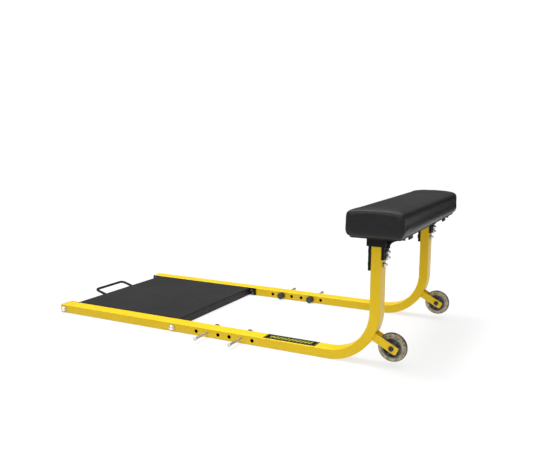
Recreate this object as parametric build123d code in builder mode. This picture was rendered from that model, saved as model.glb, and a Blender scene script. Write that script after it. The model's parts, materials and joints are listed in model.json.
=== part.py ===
from build123d import *

import math
import os

# Hip thrust bench. Two side frames, each one bent rectangular tube, carry a footplate with a lifting
# handle, four band pegs and a pad on post sockets. Skate wheels on forks at the bends clear the floor
# until the foot end is lifted. Millimetres; +X from the foot end to the pad, +Y to the left seen
# from the foot end, +Z up; the origin is on the floor under the middle of the bench.

os.makedirs("parts", exist_ok=True)

# ---- Driving dimensions ------------------------------------------------------------------------

SIDES = {"right": -1, "left": 1}
Y_AXIS = (0, 1, 0)

# Side frames
frame_width = 635.0
tube_width = 50.8
tube_height = 31.75
tube_wall = 2.0
tube_corner = 3.2
rail_end_x = -653.7
post_x = 599.0
post_top_z = 388.0
bend_radius = 149.0
plug_flange = 2.0
plug_depth = 8.0
plug_wall = 2.0
plug_fit = 0.1

# Band pegs
peg_hole_radius = 6.5
peg_hole_first_x = -32.0
peg_hole_pitch = 43.75
peg_hole_count = 6
peg_stations = {"foot": 1, "head": 4}
peg_journal_radius = 6.45
peg_neck_radius = 5.0
peg_reach = 76.0
peg_collar = 4.0
peg_chamfer = 1.0
peg_stud_radius = 4.0
peg_stud_length = 12.0
knob_radius = 13.4
knob_length = 20.0
knob_gap = 0.3
knob_lobes = 10
knob_lobe_radius = 1.8
knob_edge = 1.5

# Footplate, its side bars and its handle
footplate_start_x = -620.0
footplate_end_x = -142.4
footplate_sheet = 3.0
footplate_bend = 5.0
floor_gap = 1.5
side_bar_start_x = -655.7
side_bar_end_x = -112.9
side_bar_thickness = 4.0
side_bar_top_z = 31.0
footplate_bolt_x = (-639.5, -131.6)
handle_bar_radius = 5.0
handle_half_width = 85.0
handle_reach = 73.7
handle_tilt = 15.6
handle_root_z = 15.3
handle_corner = 16.0
handle_overrun = 4.0

# Post sockets
collar_size_x = 57.0
collar_size_y = 59.0
collar_bottom_z = 365.5
collar_lid = 3.0
strap_thickness = 8.0
long_strap_z = 292.0
short_strap_z = 326.5
rib_thickness = 6.0
rib_bottom_z = 359.0
rib_foot_x = 632.5
rib_foot_z = 370.0
rib_middle_x = 649.0
rib_middle_z = 380.8
rib_tip_z = 385.3
upper_bolt_z = 347.0
screw_z = 330.5
lower_bolt_z = 308.0

# Pad, its board and its plates
pad_x = 605.0
pad_width = 181.0
pad_length = 746.0
pad_bottom_z = 396.5
pad_shoulder_z = 463.0
pad_crown_z = 482.0
pad_edge = 16.0
pad_end_edge = 13.0
board_width = 152.0
board_length = 716.0
board_thickness = 12.0
plate_thickness = 4.0
plate_back_x = 540.0
plate_front_x = 677.0
plate_inner_y = 205.0
lip_outer_y = 245.0
lip_bottom_z = 381.0
pad_screw_x = 53.0
pad_screw_y = (232.0, 304.0)

# Wheels and forks
wheel_x = 651.0
wheel_z = 61.8
wheel_radius = 45.0
wheel_width = 24.0
tyre_shoulder_radius = 35.0
hub_radius = 31.0
hub_rim_inner_radius = 27.0
hub_rim_width = 21.0
hub_housing_radius = 15.0
hub_shoulder_radius = 9.5
hub_web = 3.0
spoke_count = 6
spoke_width = 6.5
spoke_depth = 12.0
spoke_root = 2.0
fork_gap = 27.0
fork_thickness = 5.0
fork_bar_width = 24.0
fork_tail = 20.0
fork_corner = 6.0

# Bearings and axles
bearing_radius = 11.0
bearing_width = 7.0
bearing_race_radius = 9.2
bearing_hub_radius = 6.1
ball_radius = 1.5
ball_count = 7
shield_thickness = 0.4
shield_inner_radius = 6.25
shield_inset = 0.3
axle_radius = 4.0
axle_fit = 0.03
axle_clearance = 0.05
axle_head_radius = 8.0
axle_head_height = 3.5
axle_thread_radius = 3.0
axle_thread_fit = 0.05
axle_thread_depth = 26.0
axle_screw_length = 22.0
axle_end_gap = 0.5
axle_key = 5.0
axle_key_depth = 2.0
spacer_radius = 5.8
speed_ring_radius = 6.0

# Fasteners: M10 at the footplate, M8 at the sockets, M6 under the pad
thread_fit = 0.05
dome_rounding = 0.9
head_rounding = 0.6
bolt_hole_radius = 5.5
small_hole_radius = 4.5
pad_hole_radius = 3.3
m10_radius = 5.0
m10_engagement = 8.0
m10_head_radius = 8.75
m10_head_height = 5.5
m10_key = 6.0
m10_key_depth = 3.0
m10_nut_flats = 17.0
m10_nut_hex_height = 5.5
m10_nut_dome_radius = 7.8
m10_nut_height = 13.0
m10_nut_depth = 9.5
washer_radius = 10.0
washer_bore_radius = 5.25
washer_thickness = 2.0
m8_radius = 4.0
m8_engagement = 6.5
m8_flats = 13.0
m8_head_height = 5.3
m8_nut_hex_height = 5.0
m8_nut_dome_radius = 6.2
m8_nut_height = 11.0
m8_nut_depth = 8.0
small_washer_radius = 8.0
small_washer_bore_radius = 4.2
small_washer_thickness = 1.6
rivet_nut_length = 14.0
rivet_nut_spare = 2.0
m6_radius = 3.0
m6_engagement = 10.0
m6_head_radius = 5.25
m6_head_height = 3.3
m6_key = 4.0
m6_key_depth = 1.8
tee_flange_radius = 9.0
tee_flange = 1.5
tee_barrel_radius = 4.0

# Rail label
label_x = 316.5
label_length = 184.0
label_width = 44.4
label_thickness = 0.5

# ---- Derived places ----------------------------------------------------------------------------

side_y = (frame_width - tube_width) / 2
outer_y = frame_width / 2
inner_y = outer_y - tube_width
rail_z = tube_height / 2
post_half = tube_height / 2
bend_x = post_x - bend_radius
bend_z = rail_z + bend_radius
bend_outer_radius = bend_radius + post_half
peg_hole_x = [peg_hole_first_x + peg_hole_pitch * index for index in range(peg_hole_count)]
bar_inner_y = inner_y - side_bar_thickness
lid_z = post_top_z + collar_lid
board_z = lid_z + plate_thickness
fork_angle = math.degrees(math.atan2(wheel_z - bend_z, wheel_x - bend_x))
fork_offset = (fork_gap + fork_thickness) / 2
fork_outer = fork_gap / 2 + fork_thickness
bearing_inner_face = wheel_width / 2 - bearing_width
spoke_length = hub_rim_inner_radius - hub_housing_radius + 2 * spoke_root


def facing(x, y, z, direction):
    """Plane at a seat, whose normal points the way a fastener's head or nut stands."""
    return Plane(origin=(x, y, z), z_dir=direction)


def cross_section(y):
    """Plane that cuts along the bench at a given Y: local x is +X and local y is +Z."""
    return Plane(origin=(0, y, 0), x_dir=(1, 0, 0), z_dir=(0, -1, 0))


def end_section(x, y):
    """Plane square to the bench's length: local x is +Y and local y is +Z."""
    return Plane(origin=(x, y, 0), x_dir=Y_AXIS, z_dir=(1, 0, 0))


def axle_section(y):
    """Plane through the wheel's centre: local x runs along the axle and local y is the radius."""
    return Plane(origin=(wheel_x, y, wheel_z), x_dir=Y_AXIS, z_dir=(1, 0, 0))


# ---- Fasteners, each standing on its seat at Z = 0 with its head or dome toward +Z ---------------


def dome_nut(across_flats, hex_height, dome_radius, height, bore_radius, bore_depth):
    """Closed dome nut; a zero bore gives a solid domed head."""
    with BuildPart() as nut:
        with BuildSketch():
            RegularPolygon(across_flats / 2, 6, major_radius=False)
        extrude(amount=hex_height)
        with BuildSketch(Plane.XY.offset(hex_height)):
            Circle(dome_radius)
        extrude(amount=height - hex_height)
        fillet(nut.faces().sort_by(Axis.Z)[-1].edges(), radius=dome_rounding * dome_radius)
        if bore_radius > 0:
            with BuildSketch():
                Circle(bore_radius)
            extrude(amount=bore_depth, mode=Mode.SUBTRACT)
    return nut.part


def washer(outer_radius, bore_radius, thickness):
    """Flat washer."""
    with BuildPart() as ring:
        with BuildSketch():
            Circle(outer_radius)
            Circle(bore_radius, mode=Mode.SUBTRACT)
        extrude(amount=thickness)
    return ring.part


def button_bolt(head_radius, head_height, shank_radius, shank_length, key, key_depth):
    """Round-headed bolt with a hexagon key socket."""
    with BuildPart() as bolt:
        with BuildSketch():
            Circle(head_radius)
        extrude(amount=head_height)
        fillet(bolt.faces().sort_by(Axis.Z)[-1].edges(), radius=head_rounding * head_height)
        with BuildSketch():
            Circle(shank_radius)
        extrude(amount=-shank_length)
        with BuildSketch(Plane.XY.offset(head_height)):
            RegularPolygon(key / 2, 6, major_radius=False)
        extrude(amount=-key_depth, mode=Mode.SUBTRACT)
    return bolt.part


def hex_bolt(across_flats, head_height, shank_radius, shank_length):
    """Hexagon-headed bolt."""
    with BuildPart() as bolt:
        with BuildSketch():
            RegularPolygon(across_flats / 2, 6, major_radius=False)
        extrude(amount=head_height)
        with BuildSketch():
            Circle(shank_radius)
        extrude(amount=-shank_length)
    return bolt.part


# ---- Side frames -------------------------------------------------------------------------------

for side, sign in SIDES.items():
    frame_y = sign * side_y
    rail_start = Plane(origin=(rail_end_x, frame_y, rail_z), x_dir=Y_AXIS, z_dir=(1, 0, 0))

    with BuildPart() as side_frame:
        with BuildLine(cross_section(frame_y)) as frame_path:
            Line((rail_end_x, rail_z), (bend_x, rail_z))
            CenterArc((bend_x, bend_z), bend_radius, -90, 90)
            Line((post_x, bend_z), (post_x, post_top_z))
        with BuildSketch(rail_start):
            RectangleRounded(tube_width, tube_height, tube_corner)
            RectangleRounded(
                tube_width - 2 * tube_wall,
                tube_height - 2 * tube_wall,
                tube_corner - tube_wall,
                mode=Mode.SUBTRACT,
            )
        sweep(path=frame_path.line)
        with BuildSketch(cross_section(frame_y)):
            with Locations(*[(x, rail_z) for x in peg_hole_x]):
                Circle(peg_hole_radius)
            with Locations(*[(x, rail_z) for x in footplate_bolt_x]):
                Circle(bolt_hole_radius)
        extrude(amount=tube_width, both=True, mode=Mode.SUBTRACT)
        with BuildSketch(end_section(post_x, frame_y)):
            with Locations((0, upper_bolt_z), (0, lower_bolt_z)):
                Circle(small_hole_radius)
        extrude(amount=tube_height, both=True, mode=Mode.SUBTRACT)
        with BuildSketch(end_section(post_x, frame_y)):
            with Locations((0, screw_z)):
                Circle(bolt_hole_radius)
        extrude(amount=tube_height, mode=Mode.SUBTRACT)
    side_frame.part.label = f"side_frame_{side}"
    export_step(side_frame.part, f"parts/side_frame_{side}.step")

    with BuildPart() as rail_plug:
        with BuildSketch(rail_start):
            RectangleRounded(tube_width, tube_height, tube_corner)
        extrude(amount=-plug_flange)
        with BuildSketch(rail_start):
            RectangleRounded(
                tube_width - 2 * (tube_wall + plug_fit),
                tube_height - 2 * (tube_wall + plug_fit),
                tube_corner - tube_wall,
            )
            Rectangle(
                tube_width - 2 * (tube_wall + plug_fit + plug_wall),
                tube_height - 2 * (tube_wall + plug_fit + plug_wall),
                mode=Mode.SUBTRACT,
            )
        extrude(amount=plug_depth)
    rail_plug.part.label = f"rail_plug_{side}"
    export_step(rail_plug.part, f"parts/rail_plug_{side}.step")

with BuildPart() as rail_label:
    with BuildSketch(Plane.XY.offset(tube_height)):
        with Locations((label_x, -side_y)):
            Rectangle(label_length, label_width)
    extrude(amount=label_thickness)
rail_label.part.label = "rail_label"
export_step(rail_label.part, "parts/rail_label.step")

# ---- Footplate, side bars and handle -----------------------------------------------------------

with BuildPart() as footplate:
    with BuildSketch(Plane.XZ):
        with Locations(((footplate_start_x + footplate_end_x) / 2, (tube_height + floor_gap) / 2)):
            Rectangle(footplate_end_x - footplate_start_x, tube_height - floor_gap)
    extrude(amount=bar_inner_y, both=True)
    fillet(footplate.faces().sort_by(Axis.Z)[-1].edges().filter_by(Axis.Y), radius=footplate_bend)
    with BuildSketch(Plane.XZ):
        with Locations(((footplate_start_x + footplate_end_x) / 2, (tube_height - footplate_sheet) / 2)):
            Rectangle(
                footplate_end_x - footplate_start_x - 2 * footplate_sheet,
                tube_height - footplate_sheet,
            )
    extrude(amount=bar_inner_y, both=True, mode=Mode.SUBTRACT)
footplate.part.label = "footplate"
export_step(footplate.part, "parts/footplate.step")

for side, sign in SIDES.items():
    with BuildPart() as footplate_side_bar:
        with BuildSketch(cross_section(sign * (inner_y - side_bar_thickness / 2))):
            with Locations(((side_bar_start_x + side_bar_end_x) / 2, (side_bar_top_z + floor_gap) / 2)):
                Rectangle(side_bar_end_x - side_bar_start_x, side_bar_top_z - floor_gap)
            with Locations(*[(x, rail_z) for x in footplate_bolt_x]):
                Circle(bolt_hole_radius, mode=Mode.SUBTRACT)
        extrude(amount=side_bar_thickness / 2, both=True)
    footplate_side_bar.part.label = f"footplate_side_bar_{side}"
    export_step(footplate_side_bar.part, f"parts/footplate_side_bar_{side}.step")

tilt = math.radians(handle_tilt)
handle_plane = Plane(
    origin=(footplate_start_x, 0, handle_root_z),
    x_dir=(-math.cos(tilt), 0, math.sin(tilt)),
    z_dir=(math.sin(tilt), 0, math.cos(tilt)),
)
with BuildPart() as handle:
    with BuildLine(handle_plane) as handle_path:
        FilletPolyline(
            (-handle_overrun, -handle_half_width),
            (handle_reach, -handle_half_width),
            (handle_reach, handle_half_width),
            (-handle_overrun, handle_half_width),
            radius=handle_corner,
        )
    with BuildSketch(Plane(origin=handle_path.line @ 0, z_dir=handle_path.line % 0)):
        Circle(handle_bar_radius)
    sweep(path=handle_path.line)
    split(bisect_by=Plane.YZ.offset(footplate_start_x), keep=Keep.BOTTOM)
handle.part.label = "handle"
export_step(handle.part, "parts/handle.step")

bolt_seats = [(x, sign) for x in footplate_bolt_x for sign in SIDES.values()]
footplate_bolt_reach = tube_width + side_bar_thickness + 2 * washer_thickness
footplate_bolt_length = footplate_bolt_reach + m10_engagement
footplate_bolt = button_bolt(
    m10_head_radius, m10_head_height, m10_radius, footplate_bolt_length, m10_key, m10_key_depth
)
footplate_washer = washer(washer_radius, washer_bore_radius, washer_thickness)
footplate_nut = dome_nut(
    m10_nut_flats,
    m10_nut_hex_height,
    m10_nut_dome_radius,
    m10_nut_height,
    m10_radius + thread_fit,
    m10_nut_depth,
)
bolt_head_y = bar_inner_y - washer_thickness

with BuildPart() as footplate_bolts:
    with Locations(*[facing(x, s * bolt_head_y, rail_z, (0, -s, 0)) for x, s in bolt_seats]):
        add(footplate_bolt)
footplate_bolts.part.label = "footplate_bolts"
export_step(footplate_bolts.part, "parts/footplate_bolts.step")

with BuildPart() as footplate_washers:
    with Locations(*[facing(x, s * bar_inner_y, rail_z, (0, -s, 0)) for x, s in bolt_seats]):
        add(footplate_washer)
    with Locations(*[facing(x, s * outer_y, rail_z, (0, s, 0)) for x, s in bolt_seats]):
        add(footplate_washer)
footplate_washers.part.label = "footplate_washers"
export_step(footplate_washers.part, "parts/footplate_washers.step")

with BuildPart() as footplate_dome_nuts:
    with Locations(*[facing(x, s * (outer_y + washer_thickness), rail_z, (0, s, 0)) for x, s in bolt_seats]):
        add(footplate_nut)
footplate_dome_nuts.part.label = "footplate_dome_nuts"
export_step(footplate_dome_nuts.part, "parts/footplate_dome_nuts.step")

# ---- Band pegs: a turned pin that slides in the rail, with a knob on the inside -------------------

for side, sign in SIDES.items():
    for station, hole_index in peg_stations.items():
        peg_x = peg_hole_x[hole_index]
        knob_face_y = sign * (inner_y - knob_gap)
        peg_seat = facing(peg_x, knob_face_y, rail_z, (0, sign, 0))
        journal_length = tube_width + knob_gap
        pin_length = journal_length + peg_reach

        with BuildPart() as peg_pin:
            with BuildSketch(peg_seat):
                Circle(peg_journal_radius)
            extrude(amount=pin_length)
            chamfer(peg_pin.faces().sort_by(Axis.Y)[0 if sign < 0 else -1].edges(), length=peg_chamfer)
            with BuildSketch(peg_seat.offset(journal_length)):
                Circle(peg_journal_radius + peg_chamfer)
                Circle(peg_neck_radius, mode=Mode.SUBTRACT)
            extrude(amount=peg_reach - peg_collar, mode=Mode.SUBTRACT)
            with BuildSketch(peg_seat):
                Circle(peg_stud_radius)
            extrude(amount=-peg_stud_length)
        peg_pin.part.label = f"peg_pin_{side}_{station}"
        export_step(peg_pin.part, f"parts/peg_pin_{side}_{station}.step")

        with BuildPart() as peg_knob:
            with BuildSketch(peg_seat):
                Circle(knob_radius)
                with PolarLocations(knob_radius + knob_lobe_radius / 2, knob_lobes):
                    Circle(knob_lobe_radius, mode=Mode.SUBTRACT)
            extrude(amount=-knob_length)
            chamfer(peg_knob.faces().sort_by(Axis.Y)[-1 if sign < 0 else 0].edges(), length=knob_edge)
            with BuildSketch(peg_seat):
                Circle(peg_stud_radius + thread_fit)
            extrude(amount=-peg_stud_length, mode=Mode.SUBTRACT)
        peg_knob.part.label = f"peg_knob_{side}_{station}"
        export_step(peg_knob.part, f"parts/peg_knob_{side}_{station}.step")

# ---- Post sockets and their fasteners ----------------------------------------------------------

pocket_half_x = post_half + strap_thickness

for side, sign in SIDES.items():
    frame_y = sign * side_y

    with BuildPart() as post_socket:
        with BuildSketch(Plane.XY.offset(collar_bottom_z)):
            with Locations((post_x, frame_y)):
                Rectangle(collar_size_x, collar_size_y)
        extrude(amount=lid_z - collar_bottom_z)
        with BuildSketch(Plane.XY.offset(collar_bottom_z)):
            with Locations((post_x, frame_y)):
                Rectangle(2 * pocket_half_x, tube_width)
        extrude(amount=post_top_z - collar_bottom_z, mode=Mode.SUBTRACT)
        with BuildSketch(Plane.XY.offset(long_strap_z)):
            with Locations((post_x - post_half - strap_thickness / 2, frame_y)):
                Rectangle(strap_thickness, tube_width)
        extrude(amount=post_top_z - long_strap_z)
        with BuildSketch(Plane.XY.offset(short_strap_z)):
            with Locations((post_x + post_half + strap_thickness / 2, frame_y)):
                Rectangle(strap_thickness, tube_width)
        extrude(amount=post_top_z - short_strap_z)
        with BuildSketch(cross_section(frame_y)):
            with BuildLine():
                Polyline(
                    (post_x + pocket_half_x, rib_bottom_z),
                    (rib_foot_x, rib_bottom_z),
                    (rib_foot_x, rib_foot_z),
                )
                ThreePointArc(
                    (rib_foot_x, rib_foot_z),
                    (rib_middle_x, rib_middle_z),
                    (plate_front_x, rib_tip_z),
                )
                Polyline(
                    (plate_front_x, rib_tip_z),
                    (plate_front_x, lid_z),
                    (post_x + pocket_half_x, lid_z),
                    (post_x + pocket_half_x, rib_bottom_z),
                )
            make_face()
        extrude(amount=rib_thickness / 2, both=True)
        with BuildSketch(end_section(post_x, frame_y)):
            with Locations((0, upper_bolt_z), (0, lower_bolt_z)):
                Circle(small_hole_radius)
        extrude(amount=collar_size_x, both=True, mode=Mode.SUBTRACT)
        with BuildSketch(end_section(post_x, frame_y)):
            with Locations((0, screw_z)):
                Circle(small_hole_radius)
        extrude(amount=collar_size_x, mode=Mode.SUBTRACT)
    post_socket.part.label = f"post_socket_{side}"
    export_step(post_socket.part, f"parts/post_socket_{side}.step")

back_seat_x = post_x - pocket_half_x - small_washer_thickness
front_seat_x = post_x + pocket_half_x + small_washer_thickness
post_seat_x = post_x + post_half + small_washer_thickness
upper_bolt_length = front_seat_x - back_seat_x + m8_engagement
lower_bolt_length = post_seat_x - back_seat_x + m8_engagement
upper_bolt = hex_bolt(m8_flats, m8_head_height, m8_radius, upper_bolt_length)
lower_bolt = hex_bolt(m8_flats, m8_head_height, m8_radius, lower_bolt_length)
small_washer = washer(small_washer_radius, small_washer_bore_radius, small_washer_thickness)
small_nut = dome_nut(
    m8_flats,
    m8_nut_hex_height,
    m8_nut_dome_radius,
    m8_nut_height,
    m8_radius + thread_fit,
    m8_nut_depth,
)
frame_ys = [sign * side_y for sign in SIDES.values()]

with BuildPart() as socket_bolts:
    with Locations(*[facing(back_seat_x, y, upper_bolt_z, (-1, 0, 0)) for y in frame_ys]):
        add(upper_bolt)
    with Locations(*[facing(back_seat_x, y, lower_bolt_z, (-1, 0, 0)) for y in frame_ys]):
        add(lower_bolt)
socket_bolts.part.label = "socket_bolts"
export_step(socket_bolts.part, "parts/socket_bolts.step")

with BuildPart() as socket_washers:
    for washer_z in (upper_bolt_z, lower_bolt_z):
        with Locations(*[facing(post_x - pocket_half_x, y, washer_z, (-1, 0, 0)) for y in frame_ys]):
            add(small_washer)
    for washer_z in (upper_bolt_z, screw_z):
        with Locations(*[facing(post_x + pocket_half_x, y, washer_z, (1, 0, 0)) for y in frame_ys]):
            add(small_washer)
    with Locations(*[facing(post_x + post_half, y, lower_bolt_z, (1, 0, 0)) for y in frame_ys]):
        add(small_washer)
socket_washers.part.label = "socket_washers"
export_step(socket_washers.part, "parts/socket_washers.step")

with BuildPart() as socket_dome_nuts:
    with Locations(*[facing(front_seat_x, y, upper_bolt_z, (1, 0, 0)) for y in frame_ys]):
        add(small_nut)
    with Locations(*[facing(post_seat_x, y, lower_bolt_z, (1, 0, 0)) for y in frame_ys]):
        add(small_nut)
socket_dome_nuts.part.label = "socket_dome_nuts"
export_step(socket_dome_nuts.part, "parts/socket_dome_nuts.step")

socket_screw_head = dome_nut(m8_flats, m8_nut_hex_height, m8_nut_dome_radius, m8_nut_height, 0, 0)
socket_screw_length = small_washer_thickness + strap_thickness + rivet_nut_length - rivet_nut_spare
with BuildPart() as socket_screws:
    for y in frame_ys:
        with Locations(facing(front_seat_x, y, screw_z, (1, 0, 0))):
            add(socket_screw_head)
        with BuildSketch(facing(front_seat_x, y, screw_z, (1, 0, 0))):
            Circle(m8_radius)
        extrude(amount=-socket_screw_length)
socket_screws.part.label = "socket_screws"
export_step(socket_screws.part, "parts/socket_screws.step")

with BuildPart() as rivet_nuts:
    for y in frame_ys:
        with BuildSketch(facing(post_x + post_half, y, screw_z, (1, 0, 0))):
            Circle(bolt_hole_radius)
            Circle(m8_radius + thread_fit, mode=Mode.SUBTRACT)
        extrude(amount=-rivet_nut_length)
rivet_nuts.part.label = "rivet_nuts"
export_step(rivet_nuts.part, "parts/rivet_nuts.step")

# ---- Pad: plates, board, tee nuts, screws and cushion --------------------------------------------

pad_screw_points = [(pad_x + x, y) for x in (-pad_screw_x, pad_screw_x) for y in pad_screw_y]
all_pad_screws = [(x, sign * y) for x, y in pad_screw_points for sign in SIDES.values()]
plate_outer_y = side_y + collar_size_y / 2

for side, sign in SIDES.items():
    with BuildPart() as pad_plate:
        with BuildSketch(Plane.XY.offset(lid_z)):
            with Locations(((plate_back_x + plate_front_x) / 2, sign * (plate_inner_y + plate_outer_y) / 2)):
                Rectangle(plate_front_x - plate_back_x, plate_outer_y - plate_inner_y)
            with Locations(*[(x, sign * y) for x, y in pad_screw_points]):
                Circle(pad_hole_radius, mode=Mode.SUBTRACT)
        extrude(amount=plate_thickness)
        with BuildSketch(Plane.XY.offset(lid_z)):
            for lip_x in (plate_back_x + plate_thickness / 2, plate_front_x - plate_thickness / 2):
                with Locations((lip_x, sign * (plate_inner_y + lip_outer_y) / 2)):
                    Rectangle(plate_thickness, lip_outer_y - plate_inner_y)
        extrude(amount=lip_bottom_z - lid_z)
    pad_plate.part.label = f"pad_plate_{side}"
    export_step(pad_plate.part, f"parts/pad_plate_{side}.step")

board_top_z = board_z + board_thickness

with BuildPart() as pad_board:
    with BuildSketch(Plane.XY.offset(board_z)):
        with Locations((pad_x, 0)):
            RectangleRounded(board_width, board_length, pad_end_edge)
        with Locations(*all_pad_screws):
            Circle(tee_barrel_radius, mode=Mode.SUBTRACT)
    extrude(amount=board_thickness)
    with BuildSketch(Plane.XY.offset(board_top_z)):
        with Locations(*all_pad_screws):
            Circle(tee_flange_radius)
    extrude(amount=-tee_flange, mode=Mode.SUBTRACT)
pad_board.part.label = "pad_board"
export_step(pad_board.part, "parts/pad_board.step")

with BuildPart() as pad_tee_nuts:
    with BuildSketch(Plane.XY.offset(board_top_z)):
        with Locations(*all_pad_screws):
            Circle(tee_flange_radius)
            Circle(m6_radius + thread_fit, mode=Mode.SUBTRACT)
    extrude(amount=-tee_flange)
    with BuildSketch(Plane.XY.offset(board_top_z - tee_flange)):
        with Locations(*all_pad_screws):
            Circle(tee_barrel_radius)
            Circle(m6_radius + thread_fit, mode=Mode.SUBTRACT)
    extrude(amount=tee_flange - board_thickness)
pad_tee_nuts.part.label = "pad_tee_nuts"
export_step(pad_tee_nuts.part, "parts/pad_tee_nuts.step")

pad_screw = button_bolt(
    m6_head_radius,
    m6_head_height,
    m6_radius,
    plate_thickness + m6_engagement,
    m6_key,
    m6_key_depth,
)
with BuildPart() as pad_screws:
    with Locations(*[facing(x, y, lid_z, (0, 0, -1)) for x, y in all_pad_screws]):
        add(pad_screw)
pad_screws.part.label = "pad_screws"
export_step(pad_screws.part, "parts/pad_screws.step")

pad_half = pad_width / 2
with BuildPart() as pad_cushion:
    with BuildSketch(Plane.XZ) as pad_section:
        with BuildLine():
            Polyline(
                (pad_x - pad_half, pad_shoulder_z),
                (pad_x - pad_half, pad_bottom_z),
                (pad_x + pad_half, pad_bottom_z),
                (pad_x + pad_half, pad_shoulder_z),
            )
            ThreePointArc(
                (pad_x + pad_half, pad_shoulder_z),
                (pad_x, pad_crown_z),
                (pad_x - pad_half, pad_shoulder_z),
            )
        make_face()
        fillet(pad_section.vertices(), radius=pad_edge)
    extrude(amount=pad_length / 2, both=True)
    fillet(pad_cushion.faces().sort_by(Axis.Y)[0].edges(), radius=pad_end_edge)
    fillet(pad_cushion.faces().sort_by(Axis.Y)[-1].edges(), radius=pad_end_edge)
    with BuildSketch(Plane.XY.offset(board_top_z)):
        with Locations((pad_x, 0)):
            RectangleRounded(board_width, board_length, pad_end_edge)
    extrude(amount=-board_thickness, mode=Mode.SUBTRACT)
pad_cushion.part.label = "pad_cushion"
export_step(pad_cushion.part, "parts/pad_cushion.step")

# ---- Wheels, forks and axles -------------------------------------------------------------------

for side, sign in SIDES.items():
    frame_y = sign * side_y
    wheel_plane = axle_section(frame_y)
    wheel_axis = Axis((wheel_x, frame_y, wheel_z), Y_AXIS)
    half = wheel_width / 2

    for place, face_sign in (("outer", sign), ("inner", -sign)):
        with BuildPart() as wheel_fork:
            with BuildSketch(cross_section(frame_y + face_sign * fork_offset)):
                with Locations(Location((wheel_x, wheel_z), fork_angle)):
                    with Locations(((fork_tail - bend_outer_radius) / 2, 0)):
                        RectangleRounded(bend_outer_radius + fork_tail, fork_bar_width, fork_corner)
                with Locations((bend_x, bend_z)):
                    Circle(bend_outer_radius, mode=Mode.SUBTRACT)
                with Locations((wheel_x, wheel_z)):
                    Circle(axle_radius + axle_clearance, mode=Mode.SUBTRACT)
            extrude(amount=fork_thickness / 2, both=True)
        wheel_fork.part.label = f"wheel_fork_{place}_{side}"
        export_step(wheel_fork.part, f"parts/wheel_fork_{place}_{side}.step")

    with BuildPart() as wheel_tyre:
        with BuildSketch(wheel_plane):
            with BuildLine():
                Polyline(
                    (half, tyre_shoulder_radius),
                    (half, hub_radius),
                    (-half, hub_radius),
                    (-half, tyre_shoulder_radius),
                )
                ThreePointArc((-half, tyre_shoulder_radius), (0, wheel_radius), (half, tyre_shoulder_radius))
            make_face()
        revolve(axis=wheel_axis)
    wheel_tyre.part.label = f"wheel_tyre_{side}"
    export_step(wheel_tyre.part, f"parts/wheel_tyre_{side}.step")

    with BuildPart() as wheel_hub:
        with BuildSketch(wheel_plane):
            with Locations((0, (hub_radius + hub_rim_inner_radius) / 2)):
                Rectangle(hub_rim_width, hub_radius - hub_rim_inner_radius)
            with Locations((0, (hub_housing_radius + hub_shoulder_radius) / 2)):
                Rectangle(wheel_width, hub_housing_radius - hub_shoulder_radius)
            with Locations((0, (hub_rim_inner_radius + hub_housing_radius) / 2)):
                Rectangle(hub_web, spoke_length)
        revolve(axis=wheel_axis)
        with BuildSketch(cross_section(frame_y)):
            with Locations((wheel_x, wheel_z)):
                with PolarLocations((hub_housing_radius + hub_rim_inner_radius) / 2, spoke_count):
                    Rectangle(spoke_length, spoke_width)
        extrude(amount=spoke_depth / 2, both=True)
        for end in (-1, 1):
            with BuildSketch(wheel_plane):
                with Locations((end * (half - bearing_width / 2), bearing_radius / 2)):
                    Rectangle(bearing_width, bearing_radius)
            revolve(axis=wheel_axis, mode=Mode.SUBTRACT)
    wheel_hub.part.label = f"wheel_hub_{side}"
    export_step(wheel_hub.part, f"parts/wheel_hub_{side}.step")

    bearing_centres = [end * (half - bearing_width / 2) for end in (-1, 1)]

    with BuildPart() as bearing_outer_rings:
        with BuildSketch(wheel_plane):
            with Locations(*[(c, (bearing_radius + bearing_race_radius) / 2) for c in bearing_centres]):
                Rectangle(bearing_width, bearing_radius - bearing_race_radius)
        revolve(axis=wheel_axis)
    bearing_outer_rings.part.label = f"bearing_outer_rings_{side}"
    export_step(bearing_outer_rings.part, f"parts/bearing_outer_rings_{side}.step")

    ring_bore = axle_radius + axle_fit
    with BuildPart() as bearing_inner_rings:
        with BuildSketch(wheel_plane):
            with Locations(*[(c, (bearing_hub_radius + ring_bore) / 2) for c in bearing_centres]):
                Rectangle(bearing_width, bearing_hub_radius - ring_bore)
        revolve(axis=wheel_axis)
    bearing_inner_rings.part.label = f"bearing_inner_rings_{side}"
    export_step(bearing_inner_rings.part, f"parts/bearing_inner_rings_{side}.step")

    shield_offset = bearing_width / 2 - shield_inset - shield_thickness / 2
    shield_centres = [c + end * shield_offset for c in bearing_centres for end in (-1, 1)]
    with BuildPart() as bearing_shields:
        with BuildSketch(wheel_plane):
            with Locations(*[(c, (bearing_race_radius + shield_inner_radius) / 2) for c in shield_centres]):
                Rectangle(shield_thickness, bearing_race_radius - shield_inner_radius)
        revolve(axis=wheel_axis)
    bearing_shields.part.label = f"bearing_shields_{side}"
    export_step(bearing_shields.part, f"parts/bearing_shields_{side}.step")

    ball_pitch_radius = (bearing_hub_radius + bearing_race_radius) / 2
    with BuildPart() as bearing_balls:
        for c in bearing_centres:
            with Locations(facing(wheel_x, frame_y + c, wheel_z, Y_AXIS)):
                with PolarLocations(ball_pitch_radius, ball_count):
                    Sphere(ball_radius)
    bearing_balls.part.label = f"bearing_balls_{side}"
    export_step(bearing_balls.part, f"parts/bearing_balls_{side}.step")

    with BuildPart() as bearing_spacer:
        with BuildSketch(wheel_plane):
            with Locations((0, (spacer_radius + ring_bore) / 2)):
                Rectangle(2 * bearing_inner_face, spacer_radius - ring_bore)
        revolve(axis=wheel_axis)
    bearing_spacer.part.label = f"bearing_spacer_{side}"
    export_step(bearing_spacer.part, f"parts/bearing_spacer_{side}.step")

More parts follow.
